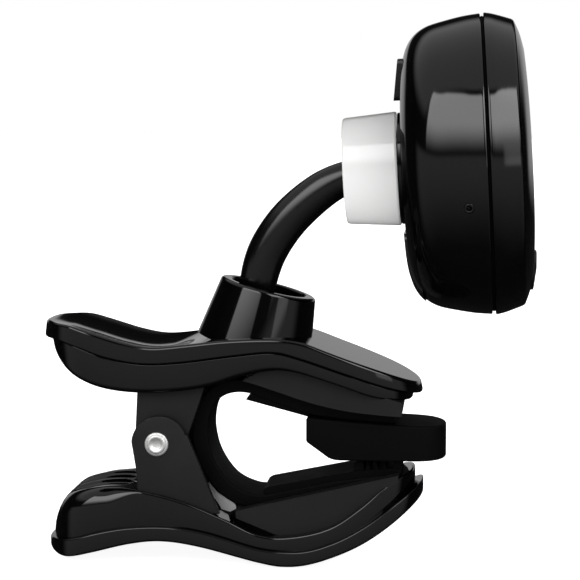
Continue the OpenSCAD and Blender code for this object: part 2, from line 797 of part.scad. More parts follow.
module piezo_leads() {
    lead_h = board_z - piezo_at.z - piezo_h - 0.04;
    color("#a03030") on_head() for (side = [-1, 1])
        translate(piezo_at + [1.2 * side, 0, piezo_h + 0.02]) cylinder(r = 0.3, h = lead_h);
}

module mic_capsule() {
    color("#b0b2b4") on_head() mic_axis() translate([0, 0, -4.4]) union() {
        cylinder(r = 2, h = 2.2);
        translate([0, 0, 2.2]) cylinder(r = 0.9, h = 0.4);
    }
}

module mic_port_ring() {
    color("#3a3a3c") on_head() mic_axis() difference() {
        translate([0, 0, -0.9]) cylinder(r = 0.73, h = 1.5);
        translate([0, 0, -3]) cylinder(r = 0.4, h = 8);
    }
}

lower_cover();
lower_lever();
lower_jaw_tray();
lower_pad();
throat_liner();
clamp_spring();
spring_anchor();
pivot_rivet();
pivot_washers();
upper_cover();
upper_lever();
upper_jaw_insert();
upper_pad();
grip_block();
grip_block_pins();
base_socket();
base_retainer();
base_spring_washer();
base_ball_seat();
stem();
base_ball();
head_ball();
head_ball_seat();
socket_collar();
collar_backplate();
collar_screws();
rear_shell();
front_shell();
parting_gasket();
shell_screws();
display_lens();
display_mask();
display_panel();
display_leds();
circuit_board();
tuner_chip();
board_components();
board_pillars();
power_switch();
function_switch();
power_button();
function_key();
coin_cell();
battery_contact_plus();
battery_contact_minus();
battery_door();
piezo_disc();
piezo_leads();
mic_capsule();
mic_port_ring();
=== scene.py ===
"""Clip-on tuner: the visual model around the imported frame. Lengths here are in millimetres."""
import json
import math

import bpy
import bmesh
from mathutils import Matrix, Vector


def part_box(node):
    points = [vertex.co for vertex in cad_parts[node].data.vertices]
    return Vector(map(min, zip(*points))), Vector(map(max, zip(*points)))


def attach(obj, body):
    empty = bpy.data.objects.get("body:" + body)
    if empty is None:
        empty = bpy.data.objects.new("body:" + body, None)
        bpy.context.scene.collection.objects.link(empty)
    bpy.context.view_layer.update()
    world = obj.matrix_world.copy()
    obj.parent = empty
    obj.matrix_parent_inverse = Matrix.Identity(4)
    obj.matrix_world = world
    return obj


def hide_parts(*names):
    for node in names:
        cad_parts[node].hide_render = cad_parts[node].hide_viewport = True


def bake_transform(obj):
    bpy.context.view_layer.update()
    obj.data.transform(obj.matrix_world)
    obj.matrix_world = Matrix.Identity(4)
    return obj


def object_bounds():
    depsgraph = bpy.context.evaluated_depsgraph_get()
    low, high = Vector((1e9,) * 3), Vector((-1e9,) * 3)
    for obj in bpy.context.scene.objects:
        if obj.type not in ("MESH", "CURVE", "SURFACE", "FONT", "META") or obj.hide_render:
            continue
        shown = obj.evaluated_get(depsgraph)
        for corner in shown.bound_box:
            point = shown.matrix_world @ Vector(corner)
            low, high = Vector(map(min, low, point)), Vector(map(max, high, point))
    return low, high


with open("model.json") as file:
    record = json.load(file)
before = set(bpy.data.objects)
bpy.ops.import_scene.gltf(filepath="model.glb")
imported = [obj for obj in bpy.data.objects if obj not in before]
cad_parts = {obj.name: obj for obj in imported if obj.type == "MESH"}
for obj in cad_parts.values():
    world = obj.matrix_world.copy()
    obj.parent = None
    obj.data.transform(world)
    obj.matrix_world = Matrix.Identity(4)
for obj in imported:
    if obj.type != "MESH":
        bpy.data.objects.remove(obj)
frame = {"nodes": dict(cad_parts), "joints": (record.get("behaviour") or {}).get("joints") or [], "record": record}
CAD_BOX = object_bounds()
MM = 0.001
RECORD = frame["record"]
JOINTS = {j["name"]: j for j in frame["joints"]}


# ---- Places taken from the frame -------------------------------------------

def joint_place(name):
    """A joint's point in millimetres and its axis."""
    joint = JOINTS[name]
    return Vector(joint["pos_m"]) / MM, Vector(joint["axis"]).normalized()


PIVOT, _ = joint_place("jaw_open")
BASE_BALL, BOSS_AXIS = joint_place("base_swivel")
HEAD_BALL, HEAD_AXIS = joint_place("head_swivel")


def box_mm(node):
    low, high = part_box(node)
    return low / MM, high / MM


def box_centre(node):
    low, high = box_mm(node)
    return (low + high) / 2


# Head frame: x up the back, y towards the near side, z along the axis to the front
HEAD_UP = Vector((-HEAD_AXIS.z, 0, HEAD_AXIS.x))
HEAD = Matrix.Translation(box_centre("parting_gasket")) @ Matrix((
    (HEAD_UP.x, 0, HEAD_AXIS.x, 0), (0, -1, 0, 0), (HEAD_UP.z, 0, HEAD_AXIS.z, 0), (0, 0, 0, 1)))

# Base socket frame: z up its leaning axis, 0 at the socket's rim
BALL_DEPTH = 6.0
BOSS = Matrix.Translation(BASE_BALL + BALL_DEPTH * BOSS_AXIS) @ Matrix((
    (BOSS_AXIS.z, 0, BOSS_AXIS.x, 0), (0, 1, 0, 0), (-BOSS_AXIS.x, 0, BOSS_AXIS.z, 0),
    (0, 0, 0, 1)))

CLIP_HALF_W = box_mm("upper_cover")[1].y
TIER_HALF_W = box_mm("upper_lever")[1].y
BAND_HALF_W = box_mm("throat_liner")[1].y
BLOCK_HALF_W = box_mm("grip_block")[1].y


# ---- Curves -------------------------------------------------------------------

def span(a, b, c, d, t):
    """One coordinate of a Catmull-Rom span."""
    return 0.5 * (2 * b + (c - a) * t + (2 * a - 5 * b + 4 * c - d) * t * t
                  + (3 * b - a - 3 * c + d) * t ** 3)


def smooth(points, n=12):
    """A smooth line through every point of a list."""
    out, last = [], len(points) - 1
    for i in range(last):
        a, b, c, d = (points[max(i - 1, 0)], points[i], points[i + 1], points[min(i + 2, last)])
        for k in range(n):
            out.append(tuple(span(*quad, k / n) for quad in zip(a, b, c, d)))
    out.append(tuple(points[-1]))
    return out


def height_of(points):
    """z as a function of x along a smooth line whose x always grows."""
    line = smooth(points)

    def at(x):
        if x <= line[0][0]:
            return line[0][1]
        for (x0, z0), (x1, z1) in zip(line, line[1:]):
            if x <= x1:
                return z0 + (z1 - z0) * (x - x0) / (x1 - x0)
        return line[-1][1]
    return at


def ease(x, start, end):
    """0 before start, 1 after end, smooth between."""
    t = min(max((x - start) / (end - start), 0), 1)
    return t * t * (3 - 2 * t)


def arc(cx, cy, r, a0, a1, n):
    steps = [math.radians(a0 + (a1 - a0) * k / n) for k in range(n + 1)]
    return [(cx + r * math.cos(a), cy + r * math.sin(a)) for a in steps]


# ---- Mesh builders ------------------------------------------------------------

def mesh_object(name, verts, faces, matrix=None, sharp=35):
    """A smooth-shaded object from points in millimetres; edges over `sharp` degrees stay crisp."""
    mesh = bpy.data.meshes.new(name)
    placed = [(matrix @ Vector(v) if matrix else Vector(v)) * MM for v in verts]
    mesh.from_pydata(placed, [], faces)
    bm = bmesh.new()
    bm.from_mesh(mesh)
    bmesh.ops.remove_doubles(bm, verts=bm.verts, dist=2e-6)
    bmesh.ops.recalc_face_normals(bm, faces=bm.faces)
    bm.to_mesh(mesh)
    bm.free()
    mesh.shade_smooth()
    mesh.set_sharp_from_angle(angle=math.radians(sharp))
    obj = bpy.data.objects.new(name, mesh)
    bpy.context.scene.collection.objects.link(obj)
    return obj


def lathe(name, profile, matrix, segments=192):
    """A turned piece from (radius, height) points; a closed profile gives a ring."""
    closed = profile[0] == profile[-1]
    points = profile[:-1] if closed else profile
    verts, faces = [], []
    rings = []
    for r, z in points:
        if r < 1e-6:
            rings.append([len(verts)])
            verts.append((0, 0, z))
            continue
        rings.append(list(range(len(verts), len(verts) + segments)))
        for k in range(segments):
            a = 2 * math.pi * k / segments
            verts.append((r * math.cos(a), r * math.sin(a), z))
    pairs = list(zip(rings, rings[1:])) + ([(rings[-1], rings[0])] if closed else [])
    for low, high in pairs:
        for k in range(segments):
            quad = [low[k % len(low)], low[(k + 1) % len(low)],
                    high[(k + 1) % len(high)], high[k % len(high)]]
            corner = list(dict.fromkeys(quad))
            if len(corner) > 2:
                faces.append(corner)
    return mesh_object(name, verts, faces, matrix)


def rounded(points, radius, n=4):
    """A polygon with its corners rounded; radius is one number or one for each corner."""
    out, count = [], len(points)
    for i, p in enumerate(points):
        r = radius[i] if isinstance(radius, (list, tuple)) else radius
        if r <= 0:
            out.append(tuple(p))
            continue
        here = Vector(p)
        back = Vector(points[i - 1]) - here
        on = Vector(points[(i + 1) % count]) - here
        cut = min(r, 0.45 * back.length, 0.45 * on.length)
        start, end = here + back.normalized() * cut, here + on.normalized() * cut
        for k in range(n + 1):
            t = k / n
            q = start * (1 - t) ** 2 + here * 2 * t * (1 - t) + end * t * t
            out.append((q.x, q.y))
    return out


def inset(points, d):
    """A closed outline moved inwards by d (anticlockwise outlines)."""
    out, count = [], len(points)
    for i in range(count):
        p, a, b = Vector(points[i]), Vector(points[i - 1]), Vector(points[(i + 1) % count])
        u, v = (p - a).normalized(), (b - p).normalized()
        n = Vector((-(u.y + v.y), u.x + v.x))
        n = n.normalized() / max(0.35, math.cos(u.angle(v, 0) / 2))
        q = p + n * d
        out.append((q.x, q.y))
    return out


def anticlockwise(points):
    area = sum(a[0] * b[1] - b[0] * a[1] for a, b in zip(points, points[1:] + points[:1]))
    return points if area > 0 else points[::-1]


def plate_parts(outline, y0, y1, bevel, steps=3):
    """Points and faces of a plate across the clip, from an x-z outline, with eased edges."""
    outline = anticlockwise(outline)
    count = len(outline)
    levels = []
    for k in range(steps + 1):
        a = math.pi / 2 * k / steps
        levels.append((bevel * (1 - math.sin(a)), y0 + bevel * (1 - math.cos(a))))
    for k in range(steps + 1):
        a = math.pi / 2 * k / steps
        levels.append((bevel * (1 - math.cos(a)), y1 - bevel * (1 - math.sin(a))))
    verts = [(x, y, z) for d, y in levels for x, z in inset(outline, d)]
    faces = [[j * count + i, j * count + (i + 1) % count, (j + 1) * count + (i + 1) % count,
              (j + 1) * count + i] for j in range(len(levels) - 1) for i in range(count)]
    faces.append(list(range(count)))
    faces.append([(len(levels) - 1) * count + i for i in range(count)][::-1])
    return verts, faces


def plates(name, outline, spans, bevel):
    """One object of plates with the same outline, at several (y0, y1) spans."""
    verts, faces = [], []
    for y0, y1 in spans:
        v, f = plate_parts(outline, y0, y1, bevel)
        faces += [[i + len(verts) for i in face] for face in f]
        verts += v
    return mesh_object(name, verts, faces, sharp=30)


# Plan outline of a lever: a rounded thumb end and a tapered, rounded jaw end
THUMB_ROUND = 9.0
TAPER_FROM = -10.0
THUMB_POWER = 2.2
JAW_POWER = 2.6


class Plan:
    """Rows of points over a lever's plan outline, which can be drawn in by a distance."""

    def __init__(self, thumb_x, jaw_x, half_w, rows, columns):
        self.thumb_x, self.jaw_x, self.half_w = thumb_x, jaw_x, half_w
        self.rows, self.columns = rows, columns

    def point(self, row, column, drawn_in=0.0):
        t = math.sin(math.pi / 2 * (2 * row / self.rows - 1))
        left_len = THUMB_ROUND - drawn_in
        right_len = self.jaw_x - TAPER_FROM - drawn_in
        left = (self.thumb_x + THUMB_ROUND
                - left_len * max(0, 1 - abs(t) ** THUMB_POWER) ** (1 / THUMB_POWER))
        right = TAPER_FROM + right_len * max(0, 1 - abs(t) ** JAW_POWER) ** (1 / JAW_POWER)
        s = column / self.columns
        return left + (right - left) * s, t * (self.half_w - drawn_in)

    def border(self):
        rows, columns = self.rows, self.columns
        return ([(0, c) for c in range(columns)] + [(r, columns) for r in range(rows)]
                + [(rows, c) for c in range(columns, 0, -1)] + [(r, 0) for r in range(rows, 0, -1)])


def lever_slab(name, plan, top, bottom, top_round, bottom_round, steps=6, draft=0.0):
    """A solid between two height functions over a plan, with rounded edges and drafted sides."""
    verts, faces = [], []

    def grid(height, radius):
        first = len(verts)
        for r in range(plan.rows + 1):
            for c in range(plan.columns + 1):
                x, _ = plan.point(r, c)
                x, y = plan.point(r, c, radius(x))
                verts.append((x, y, height(x, y)))
        for r in range(plan.rows):
            for c in range(plan.columns):
                i = first + r * (plan.columns + 1) + c
                faces.append([i, i + 1, i + plan.columns + 2, i + plan.columns + 1])
        return [first + r * (plan.columns + 1) + c for r, c in plan.border()]

    def ring(level):
        first = len(verts)
        for r, c in plan.border():
            x, _ = plan.point(r, c)
            verts.append(level(x, lambda d: plan.point(r, c, d)))
        return list(range(first, len(verts)))

    def upper(a):
        def level(x, at):
            radius = top_round(x)
            px, py = at(draft + radius * (1 - math.sin(a)))
            z = top(px, py) - radius * (1 - math.cos(a))
            return px, py, max(z, bottom(px, py) + 0.02)
        return level

    def lower(a):
        def level(x, at):
            radius = bottom_round(x)
            px, py = at(radius * (1 - math.cos(a)))
            z = bottom(px, py) + radius * (1 - math.sin(a))
            return px, py, min(z, top(px, py) - 0.01)
        return level

    loops = [grid(top, lambda x: top_round(x) + draft)]
    loops += [ring(upper(math.pi / 2 * k / steps)) for k in range(1, steps + 1)]
    loops += [ring(lower(math.pi / 2 * k / steps)) for k in range(steps)]
    loops.append(grid(bottom, bottom_round))
    for a, b in zip(loops, loops[1:]):
        for i in range(len(a)):
            j = (i + 1) % len(a)
            faces.append([a[i], a[j], b[j], b[i]])
    return mesh_object(name, verts, faces, sharp=40)


def boolean_cut(obj, cutters):
    """Cuts closed meshes out of a piece and removes them."""
    for cutter in cutters:
        mod = obj.modifiers.new("cut", "BOOLEAN")
        mod.operation, mod.solver, mod.object = "DIFFERENCE", "EXACT", cutter
        apply_modifiers(obj)
        bpy.data.objects.remove(cutter)
    obj.data.shade_smooth()
    obj.data.set_sharp_from_angle(angle=math.radians(35))


def apply_modifiers(obj):
    graph = bpy.context.evaluated_depsgraph_get()
    graph.update()
    mesh = bpy.data.meshes.new_from_object(obj.evaluated_get(graph))
    obj.modifiers.clear()
    old, obj.data = obj.data, mesh
    bpy.data.meshes.remove(old)


def bevelled(node, width):
    """Eases the edges of a CAD node that stays in view."""
    obj = frame["nodes"][node]
    obj.data.shade_smooth()
    mod = obj.modifiers.new("ease", "BEVEL")
    mod.width, mod.segments, mod.limit_method = width * MM, 2, "ANGLE"
    mod.angle_limit = math.radians(30)
    mod.harden_normals = True


# ---- Materials ----------------------------------------------------------------

BROAD_SCALE = 140.0
WAVE_SCALE = 900.0
ROUGH_VARY = 0.25
BUMP_DEPTH = 0.00002


def node_material(name, base, roughness, metallic=0.0, coat=0.0, grain=0.0, grain_scale=4000.0,
                  mottle=0.15, specular=0.5, transmission=0.0, wave=0.0):
    """Procedural material: mottled colour, uneven roughness, a fine moulded or brushed surface."""
    material = bpy.data.materials.new(name)
    material.use_nodes = True
    nodes, links = material.node_tree.nodes, material.node_tree.links
    shader = nodes["Principled BSDF"]
    shader.inputs["Metallic"].default_value = metallic
    shader.inputs["Coat Weight"].default_value = coat
    shader.inputs["Coat Roughness"].default_value = 0.04
    shader.inputs["Specular IOR Level"].default_value = specular
    shader.inputs["Transmission Weight"].default_value = transmission
    place = nodes.new("ShaderNodeTexCoord")

    broad = nodes.new("ShaderNodeTexNoise")
    broad.inputs["Scale"].default_value = BROAD_SCALE
    broad.inputs["Detail"].default_value = 4.0
    links.new(place.outputs["Object"], broad.inputs["Vector"])

    colour = nodes.new("ShaderNodeMix")
    colour.data_type = "RGBA"
    low = [c * (1 - mottle) for c in base]
    high = [min(c * (1 + mottle), 1) for c in base]
    colour.inputs["A"].default_value = (*low, 1)
    colour.inputs["B"].default_value = (*high, 1)
    links.new(broad.outputs["Fac"], colour.inputs["Factor"])
    links.new(colour.outputs["Result"], shader.inputs["Base Color"])

    rough = nodes.new("ShaderNodeMapRange")
    rough.inputs["To Min"].default_value = roughness * (1 - ROUGH_VARY)
    rough.inputs["To Max"].default_value = roughness * (1 + ROUGH_VARY)
    links.new(broad.outputs["Fac"], rough.inputs["Value"])
    links.new(rough.outputs["Result"], shader.inputs["Roughness"])

    if grain or wave:
        if wave:
            fine = nodes.new("ShaderNodeTexWave")
            fine.inputs["Scale"].default_value = WAVE_SCALE
            fine.inputs["Distortion"].default_value = 3.0
            fine.inputs["Detail"].default_value = 3.0
            out = fine.outputs["Fac"]
        else:
            fine = nodes.new("ShaderNodeTexNoise")
            fine.inputs["Scale"].default_value = grain_scale
            fine.inputs["Detail"].default_value = 2.0
            out = fine.outputs["Fac"]
        links.new(place.outputs["Object"], fine.inputs["Vector"])
        bump = nodes.new("ShaderNodeBump")
        bump.inputs["Strength"].default_value = wave or grain
        bump.inputs["Distance"].default_value = BUMP_DEPTH
        links.new(out, bump.inputs["Height"])
        links.new(bump.outputs["Normal"], shader.inputs["Normal"])
    return material


MATERIALS = {
    "gloss_black": node_material("gloss_black", (0.0008, 0.0008, 0.0009), 0.07, coat=0.2,
                                 grain=0.02, grain_scale=1500),
    "satin_black": node_material("satin_black", (0.003, 0.003, 0.0032), 0.34, grain=0.25),
    "jaw_black": node_material("jaw_black", (0.0036, 0.0036, 0.0038), 0.5, grain=0.3,
                               specular=0.4),
    "rubber_black": node_material("rubber_black", (0.0014, 0.0014, 0.0014), 0.62, grain=0.4,
                                  specular=0.06),
    "stem_black": node_material("stem_black", (0.0012, 0.0012, 0.0012), 0.2, grain=0.1,
                                specular=0.6),
    "inner_black": node_material("inner_black", (0.02, 0.02, 0.021), 0.5, grain=0.2),
    "collar_white": node_material("collar_white", (0.72, 0.72, 0.715), 0.16, coat=0.5, mottle=0.01,
                                  grain=0.02, grain_scale=1500),
    "rivet_steel": node_material("rivet_steel", (0.95, 0.95, 0.94), 0.5, metallic=1.0, grain=0.2,
                                 mottle=0.04),
    "spring_steel": node_material("spring_steel", (0.95, 0.95, 0.96), 0.42, metallic=1.0,
                                  wave=0.2, mottle=0.08),
    "screw_steel": node_material("screw_steel", (0.5, 0.51, 0.52), 0.32, metallic=1.0, grain=0.2),
    "lens_clear": node_material("lens_clear", (0.5, 0.54, 0.58), 0.03, transmission=1.0, coat=0.3,
                                mottle=0.02),
    "mask_black": node_material("mask_black", (0.004, 0.004, 0.005), 0.55, grain=0.2),
    "panel_grey": node_material("panel_grey", (0.05, 0.07, 0.08), 0.12, grain=0.05),
    "led_green": node_material("led_green", (0.45, 0.75, 0.35), 0.35, grain=0.1),
    "board_green": node_material("board_green", (0.012, 0.09, 0.03), 0.3, grain=0.3),
    "chip_black": node_material("chip_black", (0.012, 0.012, 0.012), 0.45, grain=0.3),
    "component_tan": node_material("component_tan", (0.3, 0.22, 0.13), 0.4, grain=0.2),
    "switch_grey": node_material("switch_grey", (0.42, 0.42, 0.4), 0.4, grain=0.1),
    "contact_gold": node_material("contact_gold", (0.75, 0.58, 0.28), 0.25, metallic=1.0, wave=0.1),
    "cell_steel": node_material("cell_steel", (0.66, 0.67, 0.68), 0.24, metallic=1.0, wave=0.15),
    "piezo_brass": node_material("piezo_brass", (0.7, 0.52, 0.22), 0.3, metallic=1.0, grain=0.2),
    "lead_red": node_material("lead_red", (0.35, 0.02, 0.015), 0.4, grain=0.1),
    "mic_metal": node_material("mic_metal", (0.6, 0.6, 0.6), 0.35, metallic=1.0, grain=0.2),
}
SLOT_OF = {part["node"]: part["material_slot"] for part in RECORD["subparts"]}


def dress(obj, slot):
    obj.data.materials.clear()
    obj.data.materials.append(MATERIALS[slot])
    return obj


for cad_name, cad_object in frame["nodes"].items():
    dress(cad_object, SLOT_OF[cad_name])


def piece(obj, node, body, *others):
    """Dresses a new piece as the CAD node it stands for, and rides it on its body."""
    dress(obj, SLOT_OF[node])
    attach(obj, body)
    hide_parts(node, *others)
    return obj


# ---- Clip levers ----------------------------------------------------------------

upper_top = height_of([(-55.5, 21.6), (-51.6, 21.8), (-46.5, 20.4), (-41.4, 18.9), (-36.9, 18.2),
                       (-31.3, 18.7), (-25.2, 19.4), (-18.1, 19.7), (-13.5, 19.2), (-7.9, 17.2),
                       (0.2, 14.2), (5.7, 11.9)])
upper_mid = height_of([(-55.5, 19.1), (-52.1, 19), (-48.4, 18), (-44, 16.5), (-38.4, 15.6),
                       (-32.3, 15.9), (-24.2, 17), (-18.1, 17.6), (-14, 16.8), (-5.9, 14.1),
                       (0.2, 12), (5.6, 10.4)])
upper_belly = height_of([(-53.7, 18.4), (-52.7, 16.2), (-49.9, 13.6), (-45.5, 11.7), (-40.4, 10.9),
                         (-34.3, 11), (-28.2, 11.9), (-23.2, 13.5), (-18.1, 14.6), (-14, 14.3),
                         (-7.9, 12.5), (-1.9, 10.4), (3.4, 9.5)])
lower_mid = height_of([(-55, -13.5), (-50.7, -12.8), (-45.6, -11.4), (-40.5, -10.5),
                       (-34.4, -10.3), (-28.3, -11.2), (-20.7, -13.4), (-16.2, -13.9),
                       (-12.1, -13.6), (-7.5, -12), (-3, -9.5), (1.2, -6.5), (5.7, -3.3)])
lower_bottom = height_of([(-55, -15), (-51.4, -15.7), (-46.6, -14.6), (-40.5, -13.1),
                          (-35.4, -12.6), (-29.4, -13.4), (-20.2, -15.7), (-15.7, -16.3),
                          (-11.1, -15.6), (-5, -13.2), (0.1, -10.1), (5.7, -5.7)])
lower_tier = height_of([(-54, -12.3), (-53.7, -9.2), (-51.4, -6.5), (-47.2, -4.9), (-42.5, -4.4),
                        (-37.4, -5), (-31.4, -6.6), (-25.3, -9.1), (-20.2, -11.4), (-15.1, -11.6),
                        (-9, -10.1), (-4, -6.8), (0.1, -3.4), (3.8, -1.7)])

RIB_YS = (-3.6, 0.0, 3.6)
RIB_HALF_W = 1.0
RIB_HEIGHT = 0.5


def hump_top(x, y):
    """Top of the lower lever, with the ribs of the thumb hump."""
    ribs = sum(math.cos(math.pi / 2 * min(abs(y - at) / RIB_HALF_W, 1)) ** 2 for at in RIB_YS)
    along = ease(x, -52.2, -49.2) * (1 - ease(x, -42, -40.3))
    return lower_tier(x) + RIB_HEIGHT * ribs * along


def thumb_rest(x, y):
    """Top of the upper cover, dished a little across under the thumb."""
    dish = 0.95 * (1 - ease(x, -35, -29)) * ease(x, -54.5, -51)
    across = max(0.0, 1 - (y / (CLIP_HALF_W - 1.0)) ** 2)
    return upper_top(x) - dish * across


def level_fn(height):
    return lambda x, y: height(x)


piece(
    lever_slab("upper_cover_shell", Plan(-55.4, 5.3, CLIP_HALF_W, 64, 150), thumb_rest,
               level_fn(upper_mid), lambda x: 0.5, lambda x: 0.25, draft=0.2),
    "upper_cover", "upper_clip")
upper_lever = lever_slab("upper_lever_body", Plan(-54.4, 3.8, TIER_HALF_W, 56, 130),
                         lambda x, y: upper_mid(x) + 0.02, level_fn(upper_belly),
                         lambda x: 0.45, lambda x: 0.9 - 0.5 * ease(x, -22, -10))
piece(
    lever_slab("lower_cover_shell", Plan(-54.9, 5.5, CLIP_HALF_W, 64, 150), level_fn(lower_mid),
               level_fn(lower_bottom), lambda x: 0.25, lambda x: 0.45),
    "lower_cover", "lower_clip")
lower_lever = lever_slab("lower_lever_body", Plan(-54.2, 4.2, TIER_HALF_W, 110, 170), hump_top,
                         lambda x, y: lower_mid(x) - 0.05,
                         lambda x: 2.7 - 2.3 * ease(x, -44.5, -38.5), lambda x: 0.1)

EAR_T = 1.4
OUTER_EAR_Y = 7.8
INNER_EAR_Y = OUTER_EAR_Y - EAR_T - 0.1
LOWER_EAR_R, UPPER_EAR_R = 4.45, 3.9
lower_ear = ([(-26.4, -8.3), (-31.5, 4.3)] + arc(PIVOT.x + 0.4, PIVOT.z, LOWER_EAR_R, 20, 176, 36)
             + [(-39.5, -2.1), (-39.4, -7.9)])
upper_ear = ([(-28.7, 12.3), (-29.5, 9.6), (-31.2, 4.8)]
             + arc(PIVOT.x, PIVOT.z, UPPER_EAR_R, -20, -180, 36) + [(-39.9, 4.6), (-39.5, 12.5)])


def both_sides(y, t):
    return [(-y - t, -y), (y, y + t)]


lower_ears = plates("lower_lever_ears", lower_ear, both_sides(OUTER_EAR_Y, EAR_T), bevel=0.16)
upper_ears = plates("upper_lever_ears", upper_ear, both_sides(INNER_EAR_Y, EAR_T), bevel=0.16)
for body_mesh, ears, node, body in ((lower_lever, lower_ears, "lower_lever", "lower_clip"),
                                    (upper_lever, upper_ears, "upper_lever", "upper_clip")):
    piece(body_mesh, node, body)
    dress(ears, "jaw_black")
    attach(ears, body)

for eased, width in (("lower_jaw_tray", 0.12), ("upper_jaw_insert", 0.12), ("lower_pad", 0.1),
                     ("upper_pad", 0.1), ("spring_anchor", 0.12)):
    bevelled(eased, width)


# ---- Throat band ------------------------------------------------------------------

band_in = smooth([(1.2, 5.8), (-5.9, 6.3), (-12.5, 7.2), (-18.1, 9), (-22.5, 10.5), (-25.8, 10.1),
                  (-27.9, 8), (-28.6, 4.6), (-28.1, 1.1), (-26.9, -1.6), (-25, -4), (-22.5, -5.4),
                  (-19.7, -5.8), (-14.1, -4.7), (-8, -3.4), (-0.9, -2.4)])
band_out = smooth([(1.2, 7.4), (-5.9, 8.1), (-12, 9.4), (-17.6, 11.2), (-22.5, 12.6), (-26.8, 12),
                   (-30, 9), (-31.2, 4.5), (-30.6, 0.3), (-29.1, -2.8), (-26.6, -5.9),
                   (-23.2, -7.7), (-19.2, -7.9), (-13.5, -6.7), (-7.6, -5.5), (-0.9, -4.2)])


BAND_T = 2.1


def band(name, low, high, half_w, bevel):
    """A bent strip between two shares of the band's thickness, with eased edges."""
    loop = rounded([(low * BAND_T, -half_w), (high * BAND_T, -half_w),
                    (high * BAND_T, half_w), (low * BAND_T, half_w)], bevel, 4)
    loop = [(f / BAND_T, y) for f, y in loop]
    verts, faces, count = [], [], len(loop)
    for (xi, zi), (xo, zo) in zip(band_in, band_out):
        verts += [(xi + (xo - xi) * f, y, zi + (zo - zi) * f) for f, y in loop]
    for j in range(len(band_in) - 1):
        for i in range(count):
            k = (i + 1) % count
            faces.append([j * count + i, j * count + k, (j + 1) * count + k, (j + 1) * count + i])
    faces.append(list(range(count)))
    faces.append([len(verts) - count + i for i in range(count)][::-1])
    return mesh_object(name, verts, faces, sharp=50)


for band_piece, node in ((band("throat_band", 0, 1, BAND_HALF_W, 0.35), "throat_liner"),
                         (band("clamp_leaf", 0.38, 0.62, BAND_HALF_W - 1, 0.05), "clamp_spring")):
    dress(band_piece, SLOT_OF[node])
    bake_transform(band_piece)
    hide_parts(node)


# ---- Grip block ---------------------------------------------------------------------

TIP_ROUND, TIP_POWER = 5.4, 2.3
FLAT_TO, BLEND_TO, BLEND_LENGTH = -7.6, -9.4, 1.8
BLEND_DROP, LEAD_IN = 0.4, 0.72


class BlockPlan(Plan):
    """Plan of the grip block: square at the throat, rounded at the tip."""

    def point(self, row, column, drawn_in=0.0):
        t = math.sin(math.pi / 2 * (2 * row / self.rows - 1))
        round_from = self.jaw_x - TIP_ROUND
        left = self.thumb_x + drawn_in
        right_len = TIP_ROUND - drawn_in
        right = round_from + right_len * max(0, 1 - abs(t) ** TIP_POWER) ** (1 / TIP_POWER)
        return left + (right - left) * column / self.columns, t * (self.half_w - drawn_in)


def block_under(x, y):
    """Underside of the grip block: flat, with a slanted lead-in towards the throat."""
    if x > FLAT_TO:
        return 0.0
    if x > BLEND_TO:
        return BLEND_DROP * ((FLAT_TO - x) / BLEND_LENGTH) ** 2
    return BLEND_DROP + (BLEND_TO - x) * LEAD_IN


block_top = height_of([(-13, 6.85), (-6, 6.25), (1.2, 5.8), (9.3, 5.45)])
piece(
    lever_slab("grip_block_rubber", BlockPlan(-12.9, 9.1, BLOCK_HALF_W, 44, 120),
               level_fn(block_top), block_under, lambda x: 0.4, lambda x: 0.3, steps=5),
    "grip_block", "upper_clip")


# ---- Rivet, base socket, stem ---------------------------------------------------------

RIVET_FACE = OUTER_EAR_Y + EAR_T
rivet_head = smooth([(0.0, 0.12), (0.3, 0.14), (0.62, 0.2)], 4) + smooth(
    [(0.78, 0.34), (0.98, 0.5), (1.2, 0.56), (1.42, 0.5), (1.5, 0.36), (1.6, 0.36),
     (1.78, 0.3), (1.88, 0.14), (1.9, -0.3)], 5) + [(0.0, -0.3)]


def rivet_heads():
    heads = []
    for side in (-1, 1):
        turn = Matrix.Translation((PIVOT.x, side * RIVET_FACE, PIVOT.z)) @ Matrix.Rotation(
            math.radians(-90 * side), 4, "X")
        end = "near" if side < 0 else "far"
        heads.append(lathe(f"pivot_rivet_head_{end}", rivet_head, turn, 96))
    return heads


for head_piece in rivet_heads():
    piece(head_piece, "pivot_rivet", "lower_clip")
SHANK_R, SHANK_END_R = 1.2, 1.1
shank = lathe("pivot_rivet_shank", [(0, -RIVET_FACE), (SHANK_END_R, -RIVET_FACE),
                                    (SHANK_R, -RIVET_FACE + 0.1), (SHANK_R, RIVET_FACE - 0.1),
                                    (SHANK_END_R, RIVET_FACE), (0, RIVET_FACE)],
              Matrix.Translation(PIVOT) @ Matrix.Rotation(math.radians(90), 4, "X"), 48)
piece(shank, "pivot_rivet", "lower_clip")

RIM_R = 7.7
HOLE_R = 5.95
CONE_DEPTH = 9.6
CONE_TAPER = math.tan(math.radians(9.5))
socket_profile = rounded(
    [(RIM_R + CONE_DEPTH * CONE_TAPER, -CONE_DEPTH), (RIM_R, 0), (HOLE_R, 0), (HOLE_R, -3.4),
     (6.55, -3.4), (6.55, -9.5), (7.4, -9.6)], [0, 0.5, 0.35, 0, 0, 0, 0], 6)
piece(lathe("base_socket_cone", socket_profile + [socket_profile[0]], BOSS), "base_socket",
      "upper_clip")

stem_path = smooth([(BASE_BALL.x, BASE_BALL.z), (-21.2, 25), (-20.9, 28.6), (-19.4, 33),
                    (-16.3, 37.6), (-12, 41.6), (-8, 44), (HEAD_BALL.x, HEAD_BALL.z)], 12)
STEM_END_D = 4.9
STEM_MID_D = 6.4


